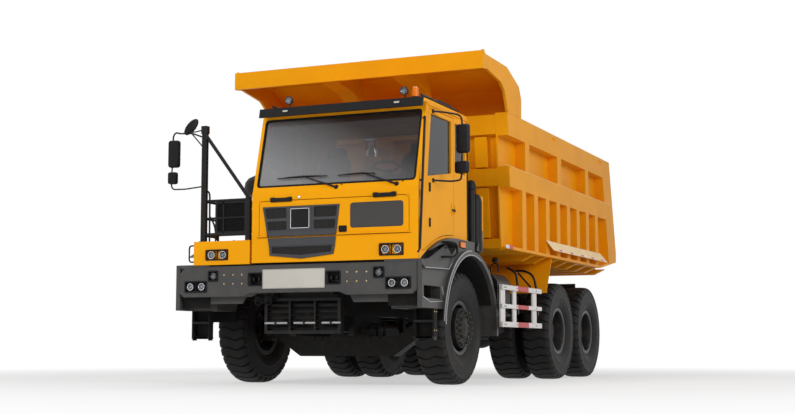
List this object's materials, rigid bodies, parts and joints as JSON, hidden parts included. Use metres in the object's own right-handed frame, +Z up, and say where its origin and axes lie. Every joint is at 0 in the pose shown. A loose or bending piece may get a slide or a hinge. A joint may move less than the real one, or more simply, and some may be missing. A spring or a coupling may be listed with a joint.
{
  "type": "mining dump truck",
  "caption": "Mining dump truck with an offset cab, a canopied dump body that tips rearwards, a telescopic hoist and twin rear wheels.",
  "frame": {"origin": "on the ground, under the middle of the bounding box, on the chassis centre line", "axes": "+X to the truck's left, +Y to its rear, +Z up"},
  "size_m": [4.24, 8.7999, 4.505],
  "materials": {
    "yellow_paint": "semi-gloss",
    "grey_paint": "satin",
    "black_paint": "satin",
    "grey_plastic": "matt",
    "black_plastic": "matt",
    "tyre": "matt",
    "rim_paint": "satin",
    "cast_iron": "rough",
    "steel": "ground",
    "glass": "tinted",
    "lamp": "clear",
    "seat_fabric": "woven",
    "aluminium": "mill",
    "white_red_paint": "semi-gloss",
    "flap_rubber": "matt"
  },
  "bodies": {
    "chassis": {"chassis_frame": "black_paint", "front_bumper": "grey_paint", "radiator_guard": "black_paint", "engine_block": "cast_iron", "front_axle": "cast_iron", "rear_axles": "cast_iron", "drive_shaft": "steel", "leaf_springs": "cast_iron", "front_fenders": "grey_plastic", "access_steps": "black_paint", "platform_box": "yellow_paint", "platform_rails": "black_paint", "cab_front": "yellow_paint", "cab_sides": "yellow_paint", "cab_rear": "yellow_paint", "cab_roof": "yellow_paint", "cab_floor": "grey_paint", "cab_windows": "glass", "seats": "seat_fabric", "dashboard": "black_plastic", "handrails": "black_paint", "side_tanks": "aluminium", "side_guards": "white_red_paint", "air_cleaner": "black_plastic", "lamps": "lamp"},
    "knuckle_left": {"knuckle_left": "cast_iron"},
    "knuckle_right": {"knuckle_right": "cast_iron"},
    "wheel_front_left": {"front_left_tyre": "tyre", "front_left_rim": "rim_paint"},
    "wheels_middle_left": {"middle_left_tyres": "tyre", "middle_left_rims": "rim_paint"},
    "wheels_rear_left": {"rear_left_tyres": "tyre", "rear_left_rims": "rim_paint"},
    "wheel_front_right": {"front_right_tyre": "tyre", "front_right_rim": "rim_paint"},
    "wheels_middle_right": {"middle_right_tyres": "tyre", "middle_right_rims": "rim_paint"},
    "wheels_rear_right": {"rear_right_tyres": "tyre", "rear_right_rims": "rim_paint"},
    "dump_body": {"body_floor": "yellow_paint", "body_front_wall": "yellow_paint", "body_side_left": "yellow_paint", "body_side_right": "yellow_paint", "body_canopy": "yellow_paint", "mud_flaps": "flap_rubber", "wheel_guards": "yellow_paint"},
    "hoist_barrel": {"hoist_barrel": "black_paint"},
    "hoist_stage": {"hoist_stage": "steel"},
    "hoist_rod": {"hoist_rod": "steel"},
    "door_left": {"door_left": "yellow_paint", "door_left_glass": "glass", "mirror_left": "black_plastic"},
    "door_right": {"door_right": "yellow_paint", "door_right_glass": "glass"},
    "front_hatch": {"front_hatch": "yellow_paint"},
    "steering_wheel": {"steering_wheel": "black_plastic"}
  },
  "joints": [
    {"name": "steer_left", "type": "hinge", "parent": "chassis", "child": "knuckle_left", "pos_m": [1.235, -2.75, 0.745], "axis": [0, 0, 1], "range_deg": [-33, 33]},
    {"name": "steer_right", "type": "hinge", "parent": "chassis", "child": "knuckle_right", "pos_m": [-1.235, -2.75, 0.745], "axis": [0, 0, 1], "range_deg": [-33, 33]},
    {"name": "roll_front_left", "type": "hinge", "parent": "knuckle_left", "child": "wheel_front_left", "pos_m": [1.457, -2.75, 0.745], "axis": [1, 0, 0], "continuous": true},
    {"name": "roll_middle_left", "type": "hinge", "parent": "chassis", "child": "wheels_middle_left", "pos_m": [1.44, 0.87, 0.745], "axis": [1, 0, 0], "continuous": true},
    {"name": "roll_rear_left", "type": "hinge", "parent": "chassis", "child": "wheels_rear_left", "pos_m": [1.44, 2.49, 0.745], "axis": [1, 0, 0], "continuous": true},
    {"name": "roll_front_right", "type": "hinge", "parent": "knuckle_right", "child": "wheel_front_right", "pos_m": [-1.457, -2.75, 0.745], "axis": [1, 0, 0], "continuous": true},
    {"name": "roll_middle_right", "type": "hinge", "parent": "chassis", "child": "wheels_middle_right", "pos_m": [-1.44, 0.87, 0.745], "axis": [1, 0, 0], "continuous": true},
    {"name": "roll_rear_right", "type": "hinge", "parent": "chassis", "child": "wheels_rear_right", "pos_m": [-1.44, 2.49, 0.745], "axis": [1, 0, 0], "continuous": true},
    {"name": "body_tip", "type": "hinge", "parent": "chassis", "child": "dump_body", "pos_m": [0, 3.2, 1.14], "axis": [-1, 0, 0], "range_deg": [0, 45]},
    {"name": "hoist_swing", "type": "hinge", "parent": "chassis", "child": "hoist_barrel", "pos_m": [0, -2.15, 1.01], "axis": [-1, 0, 0], "range_deg": [0, 28.27]},
    {"name": "hoist_first_stage", "type": "slide", "parent": "hoist_barrel", "child": "hoist_stage", "axis": [0, 0.0614, 0.9981], "range_m": [0, 1.971]},
    {"name": "hoist_second_stage", "type": "slide", "parent": "hoist_stage", "child": "hoist_rod", "axis": [0, 0.0614, 0.9981], "range_m": [0, 1.971]},
    {"name": "door_left_swing", "type": "hinge", "parent": "chassis", "child": "door_left", "pos_m": [1.706, -4.308, 2.5], "axis": [0, 0, -1], "range_deg": [0, 70]},
    {"name": "door_right_swing", "type": "hinge", "parent": "chassis", "child": "door_right", "pos_m": [-0.626, -4.308, 2.5], "axis": [0, 0, 1], "range_deg": [0, 60]},
    {"name": "hatch_lift", "type": "hinge", "parent": "chassis", "child": "front_hatch", "pos_m": [0.53, -4.38, 2.356], "axis": [-1, 0, 0], "range_deg": [0, 80]},
    {"name": "steering_wheel_turn", "type": "hinge", "parent": "chassis", "child": "steering_wheel", "pos_m": [1.12, -3.905, 2.703], "axis": [0, 0.5, 0.866], "range_deg": [-600, 600]}
  ],
  "couplings": [
    {"joint": "steer_right", "follows": "steer_left", "ratio": 1},
    {"joint": "steering_wheel_turn", "follows": "steer_left", "ratio": 18},
    {"joint": "hoist_swing", "follows": "body_tip", "ratio": 0.61715},
    {"joint": "hoist_first_stage", "follows": "body_tip", "m_per_rad": 2.4967},
    {"joint": "hoist_second_stage", "follows": "body_tip", "m_per_rad": 2.4967}
  ]
}
